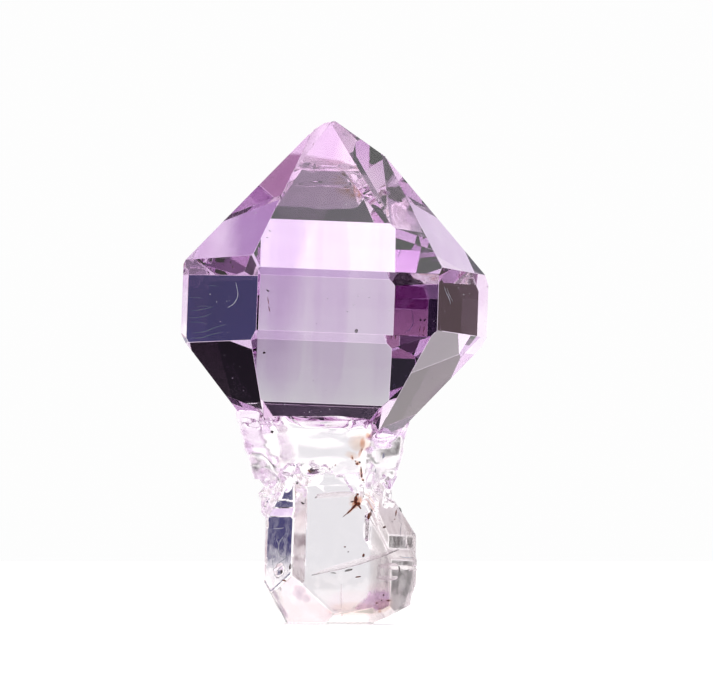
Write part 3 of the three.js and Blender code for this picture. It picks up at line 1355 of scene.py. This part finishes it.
FIBRES = Threads("dust_fibres", GrainFinish("lint", (0.3, 0.3, 0.37), (0.58, 0.58, 0.66), 0.7), (
    Thread(((-4.83, -5.1, 16.75), (-4.73, -5.3, 16.4), (-4.7, -5.33, 16.05), (-4.83, -5.14, 15.8),
            (-5.0, -4.92, 15.62), (-5.24, -4.56, 15.54)), 0.045),
    Thread(((5.36, -5.42, 16.5), (5.47, -5.22, 16.2), (5.66, -4.82, 15.9), (5.68, -4.74, 15.7)), 0.045),
    Thread(((5.5, -5.14, 16.45), (5.61, -4.92, 16.1), (5.8, -4.52, 15.85)), 0.04),
))
# Painted glints: these pale blue threads laid on the left face's skin stand in for the lines of light
# that glint along it.
PAINTED_GLINT_FINISH = GrainFinish("etched_light", (0.035, 0.05, 0.1), (0.06, 0.08, 0.14), 0.5)
PAINTED_GLINT_LINES = Threads("etched_lines", PAINTED_GLINT_FINISH, (
    Thread(((-7.24, -1.62, 15.19), (-6.77, -2.31, 15.17), (-6.3, -2.99, 15.21),
            (-6.04, -3.36, 15.34)), 0.04),
    Thread(((-7.24, -1.64, 14.96), (-6.71, -2.4, 15.0), (-6.3, -3.01, 14.81)), 0.045),
    Thread(((-7.02, -1.97, 14.42), (-6.35, -2.96, 14.42), (-5.88, -3.62, 14.63),
            (-5.32, -4.44, 14.71)), 0.05),
    Thread(((-7.18, -1.76, 14.19), (-6.6, -2.6, 14.12), (-6.09, -3.34, 14.28),
            (-5.52, -4.16, 14.36)), 0.05),
    Thread(((-6.87, -2.13, 15.71), (-6.45, -2.73, 15.75), (-6.09, -3.27, 15.66)), 0.035),
    Thread(((-7.13, -1.76, 15.53), (-6.66, -2.44, 15.54), (-6.25, -3.04, 15.6),
            (-5.94, -3.49, 15.63)), 0.04),
    Thread(((-7.24, -1.57, 16.19), (-6.77, -2.25, 16.19), (-6.5, -2.64, 16.1)), 0.035),
    Thread(((-6.25, -2.98, 16.69), (-5.94, -3.43, 16.72), (-5.7, -3.77, 16.6)), 0.035),
))
CRACKS = Threads("pale_cracks", GrainFinish("crack_light", (0.4, 0.42, 0.5), (0.75, 0.77, 0.85), 0.4), (
    Thread(((-2.95, -1.85, 4.75), (-2.7, -2.25, 4.7), (-2.5, -2.6, 4.78)), 0.07),
    Thread(((-2.85, -2.05, 4.2), (-2.72, -2.3, 3.95), (-2.78, -2.2, 3.6), (-2.6, -2.5, 3.25),
            (-2.35, -2.9, 3.4)), 0.05),
    Thread(((-2.55, -2.6, 4.3), (-2.7, -2.3, 4.1), (-2.75, -2.2, 3.9)), 0.06),
    Thread(((-2.75, -2.15, 3.0), (-2.55, -2.5, 3.15), (-2.3, -2.95, 3.35)), 0.08),
    Thread(((-2.8, -2.05, 2.6), (-2.65, -2.3, 2.85), (-2.45, -2.7, 2.95)), 0.06),
    Thread(((-3.05, -1.6, 3.6), (-3.0, -1.75, 3.0), (-2.9, -1.9, 2.4)), 0.06),
    Thread(((3.3, -1.75, 5.0), (3.24, -1.85, 4.6), (3.2, -1.9, 4.3)), 0.08),
    Thread(((3.2, -1.95, 3.35), (3.6, -1.3, 3.28), (3.9, -0.8, 3.3)), 0.08),
    Thread(((3.45, -1.5, 4.6), (3.5, -1.4, 4.2), (3.46, -1.5, 3.8)), 0.05),
), 0.6)


PALE = ClearFinish("pale_veils", Tint((0.97, 0.93, 0.95), 1.0), 1.12, 0.22,
                   (0.98, 0.96, 0.97), (0.95, 0.91, 0.94))
VEILS = Lumps(PALE, (
    Lump((0.9, -1.6, 3.05), 4.2, 0.04, 16.0, 2.6, 6.0),
    Lump((2.6, -2.0, 2.9), 1.0, 0.06, 4.0, 1.2, -12.0),
    Lump((2.5, -2.1, 2.3), 0.9, 0.06, -6.0, 1.2, 10.0), Lump((0.3, -2.2, 1.4), 0.04, 1.2, 0.0, 1.0),
    Lump((0.1, -1.8, 6.4), 2.4, 0.04, 5.0, 1.8, -8.0), Lump((-2.62, -2.2, 2.68), 0.84, 0.68, 20.0, 0.2),
), sunk=1.0, below=0.05)


@dataclass(frozen=True)
class Card:
    """A card of the light tent: a patch of even light, or of little light."""

    turn: float
    half: float
    low: float
    high: float
    colour: Triple
    soft: float = 3.0

    def mask(self, nodes: Nodes, turn: Socket, rise: Socket) -> Socket:
        """Adds nodes that tell where the card is.

        Args:
            nodes: The tree to add to.
            turn: The direction's angle round the crystal, 0 behind it and growing to the right.
            rise: The direction's angle above the horizon.

        Returns:
            1 on the card and 0 off it.
        """
        off = nodes.math("SUBTRACT", turn, self.turn)
        away = nodes.math("ABSOLUTE", nodes.math("WRAP", off, 180.0, -180.0))
        across = nodes.ramp(away, self.half, self.half + self.soft, 1.0, 0.0)
        over = nodes.ramp(rise, self.low - self.soft, self.low)
        under = nodes.ramp(rise, self.high, self.high + self.soft, 1.0, 0.0)
        return nodes.math("MULTIPLY", across, nodes.math("MULTIPLY", over, under))


@dataclass
class Tent:
    """The light tent round the crystal: white walls and table, with grey and dark cards."""

    table_level: float = 1.45
    wall_level: float = 1.25
    roof_level: float = 1.25
    table_edge: Span = (-13.0, -10.0)
    roof_edge: Span = (30.0, 40.0)
    cards: tuple[Card, ...] = (
        Card(0.0, 180.0, -52.0, -33.0, (0.86, 0.79, 0.82)),
        Card(0.0, 9.0, -3.0, 8.0, (0.885, 0.90, 0.92), 1.5),
        Card(0.0, 14.0, 20.0, 29.0, (0.70, 0.75, 0.72), 2.0),
        Card(-2.0, 9.0, -18.5, -15.4, (0.86, 0.80, 0.94), 1.0),
        Card(180.0, 45.0, -40.0, -15.0, (0.29, 0.26, 0.31)),
        Card(180.0, 60.0, -68.0, -43.0, (0.42, 0.36, 0.46)),
        Card(-176.0, 9.0, -76.0, -68.0, (0.30, 0.02, 0.20), 1.5),
        Card(-126.0, 6.0, 3.0, 11.0, (0.05, 0.01, 0.06)),
        Card(64.0, 2.5, -17.0, -11.5, (0.1, 0.02, 0.12), 1.0),
        Card(57.0, 3.0, -34.0, -27.0, (0.02, 0.01, 0.02), 1.0),
        Card(33.0, 3.0, -16.5, -13.0, (0.2, 0.1, 0.22), 1.0),
        Card(-157.0, 4.0, -13.0, -7.0, (0.05, 0.06, 0.06), 1.5),
        Card(172.0, 14.0, -13.0, -8.5, (0.25, 0.24, 0.25), 1.5),
        Card(172.0, 14.0, -7.0, 8.5, (0.02, 0.015, 0.03), 1.5),
        Card(169.0, 8.0, 21.0, 29.0, (0.1, 0.03, 0.1)),
        Card(-55.5, 4.0, 21.0, 29.0, (0.1, 0.03, 0.1)),
        Card(-157.0, 13.0, -50.0, -30.0, (0.02, 0.01, 0.02), 2.0),
        Card(149.5, 6.0, -18.0, -11.0, (0.18, 0.01, 0.16), 2.0),
        Card(132.0, 24.0, -9.0, 1.5, (0.33, 0.25, 0.29)),
        Card(50.0, 18.0, -75.0, -56.0, (0.66, 0.45, 0.6)),
        Card(28.0, 5.0, 19.0, 29.0, (0.45, 0.45, 0.48)),
        Card(21.0, 2.5, 18.0, 27.0, (1.15, 1.05, 1.08), 1.5),
        Card(112.0, 6.0, 33.0, 43.0, (3.2, 2.8, 3.6)),
        Card(57.0, 7.0, 57.0, 68.0, (0.95, 1.0, 0.95)),
        Card(58.0, 4.5, -24.0, -16.8, (0.21, 0.01, 0.17), 1.0),
        Card(53.5, 3.5, -15.0, -11.0, (1.95, 1.8, 1.95), 0.8),
        Card(49.8, 1.7, -8.0, 10.0, (0.62, 0.44, 0.5), 1.4),
        Card(50.0, 7.0, 14.0, 34.0, (0.01, 0.008, 0.02)),
        Card(36.5, 4.2, -22.5, -17.5, (0.8, 0.62, 0.9), 3.0),
        Card(40.7, 3.2, -5.0, 4.2, (0.008, 0.01, 0.13), 1.0),
        Card(41.0, 6.0, 19.0, 34.0, (0.01, 0.008, 0.012)),
        Card(-35.0, 4.0, 8.5, 17.0, (0.23, 0.205, 0.21), 2.0),
        Card(-36.0, 6.0, -25.0, -16.0, (1.05, 1.0, 1.1), 2.0),
        Card(-42.0, 6.0, 30.0, 48.0, (0.10, 0.06, 0.07)),
        Card(-44.0, 4.0, -6.0, 9.5, (0.01, 0.005, 0.005), 2.0),
        Card(-65.0, 9.0, -46.0, -14.0, (0.06, 0.05, 0.06)),
        Card(-66.8, 2.0, -2.0, 10.0, (0.58, 0.50, 0.52), 0.8),
    )

    def make(self) -> bpy.types.NodeTree:
        """Builds the node group that gives the light from each direction.

        Returns:
            The group.
        """
        group = bpy.data.node_groups.new("tent", "ShaderNodeTree")
        group.interface.new_socket("Way", in_out="INPUT", socket_type="NodeSocketVector")
        group.interface.new_socket("Light", in_out="OUTPUT", socket_type="NodeSocketColor")
        nodes = Nodes(group)
        way = group.nodes.new("NodeGroupInput").outputs["Way"]
        axes = nodes.add("SeparateXYZ", {0: way}).outputs
        turn = nodes.math("DEGREES", nodes.math("ARCTAN2", axes[0], axes[1]))
        rise = nodes.math("DEGREES", nodes.math("ARCSINE", axes[2]))
        table = nodes.ramp(rise, *self.table_edge, self.table_level, self.wall_level)
        roof = nodes.ramp(rise, *self.roof_edge, 0.0, self.roof_level - self.wall_level)
        level = nodes.math("ADD", table, roof)
        colour = nodes.add("CombineXYZ", {0: level, 1: level, 2: level}).outputs[0]
        for card in self.cards:
            colour = nodes.blend(card.mask(nodes, turn, rise), colour, opaque(*card.colour))
        nodes.fill(group.nodes.new("NodeGroupOutput"), {"Light": colour})
        return group


def split_view(nodes: Nodes, tent: bpy.types.NodeTree, way: Socket, kind: str, plain: Socket,
               output: str) -> None:
    """Lets the camera see something plain, and all other rays the tent's light.

    Args:
        nodes: The nodes of the table's material or of the world.
        tent: The tent's node group.
        way: The direction of the light.
        kind: The kind of node that gives the light off.
        plain: What the camera sees.
        output: The name of the output node.
    """
    light = nodes.add("Group", {"Way": way}, node_tree=tent)
    glow = nodes.add(kind, {"Color": light.outputs["Light"]}).outputs[0]
    direct = nodes.add("LightPath").outputs["Is Camera Ray"]
    choice = nodes.add("MixShader", {0: direct, 1: glow, 2: plain}).outputs[0]
    nodes.fill(nodes.tree.nodes[output], {"Surface": choice})


@dataclass
class Studio:
    """A pale table in a light tent, a soft lamp overhead, and the camera."""

    tent: Tent = field(default_factory=Tent)
    eye: Triple = (1.08, -220.0, 3.2)
    aim: Triple = (1.08, 0.0, 14.3)
    lens: float = 222.4
    sensor: float = 36.0
    clip_in_metres: Span = (0.01, 100.0)
    table_half: float = 3000.0
    table_front: float = -105.0
    table_colour: Triple = (0.95, 0.95, 0.95)
    table_roughness: float = 0.8
    table_gloss: float = 0.1
    table_glow: float = 0.3
    heart: Triple = (0.0, 0.0, 12.0)
    background: Triple = (0.985, 0.985, 0.985)
    lamp_side: float = 300.0
    lamp_height: float = 500.0
    lamp_watts: float = 0.3
    bounces: int = 48

    def make(self) -> None:
        """Builds the table, the light and the camera."""
        tent = self.tent.make()
        self.make_table(tent)
        self.make_world(tent)
        self.make_lamp()
        self.make_camera()
        self.allow_bounces()

    def make_table(self, tent: bpy.types.NodeTree) -> None:
        """Builds the plain pale table. What the crystal bends into view of it is the tent's light.

        Args:
            tent: The tent's node group.
        """
        bm = bmesh.new()
        bmesh.ops.create_grid(bm, x_segments=1, y_segments=1, size=self.table_half * MM)
        back = Vector((0, self.table_half + self.table_front, 0)) * MM
        bmesh.ops.translate(bm, vec=back, verts=bm.verts)
        table = object_of(bm, "table")
        material, nodes, shader = new_material("table")
        nodes.fill(shader, {
            "Base Color": opaque(*self.table_colour), "Roughness": self.table_roughness,
            "Specular IOR Level": self.table_gloss, "Emission Color": opaque(1, 1, 1),
            "Emission Strength": self.table_glow,
        })
        place = nodes.add("NewGeometry").outputs["Position"]
        heart = tuple(Vector(self.heart) * MM)
        from_heart = nodes.add("VectorMath", {0: place, 1: heart}, operation="SUBTRACT").outputs[0]
        way = nodes.add("VectorMath", {0: from_heart}, operation="NORMALIZE").outputs[0]
        split_view(nodes, tent, way, "Emission", shader.outputs[0], "Material Output")
        table.data.materials.append(material)

    def make_world(self, tent: bpy.types.NodeTree) -> None:
        """Builds the light that comes from the tent's walls. The camera itself sees plain white.

        Args:
            tent: The tent's node group.
        """
        world = bpy.data.worlds.new("tent")
        bpy.context.scene.world = world
        world.use_nodes = True
        nodes = Nodes(world.node_tree)
        way = nodes.add("TexCoord").outputs["Generated"]
        plain = nodes.add("Background", {"Color": opaque(*self.background)}).outputs[0]
        split_view(nodes, tent, way, "Background", plain, "World Output")

    def make_lamp(self) -> None:
        """Hangs a wide soft lamp over the crystal."""
        light = bpy.data.lights.new("lamp", "AREA")
        light.size = self.lamp_side * MM
        light.energy = self.lamp_watts
        lamp = object_of(light, "lamp")
        lamp.location = (0, 0, self.lamp_height * MM)

    def make_camera(self) -> None:
        """Puts the camera low in front of the crystal, as the picture was taken."""
        camera = bpy.data.cameras.new("camera")
        camera.lens = self.lens
        camera.sensor_fit = "HORIZONTAL"
        camera.sensor_width = self.sensor
        camera.clip_start, camera.clip_end = self.clip_in_metres
        holder = object_of(camera, "camera")
        holder.location = Vector(self.eye) * MM
        look = Vector(self.aim) - Vector(self.eye)
        holder.rotation_euler = look.to_track_quat("-Z", "Y").to_euler()
        bpy.context.scene.camera = holder
        bpy.context.scene.view_settings.view_transform = "Standard"

    def allow_bounces(self) -> None:
        """Lets light cross the crystal and turn inside it as often as its faces turn it."""
        cycles = bpy.context.scene.cycles
        cycles.max_bounces = self.bounces
        cycles.glossy_bounces = self.bounces
        cycles.transmission_bounces = self.bounces


def main() -> None:
    """Builds the scepter and its studio."""
    logging.basicConfig(level=logging.INFO, format="%(name)s: %(message)s")
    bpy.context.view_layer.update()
    Studio().make()
    front = Front(Crystal().make())
    for grains in GRAINS:
        grains.make(front)
    Dust().make()
    # One of these layers is painted glints: pale threads on the left face that stand in for lines of
    # light.
    for layer in (*CLOUDS, FIBRES, PAINTED_GLINT_LINES, CRACKS, VEILS):
        layer.make(front)


if __name__ == "__main__":
    main()
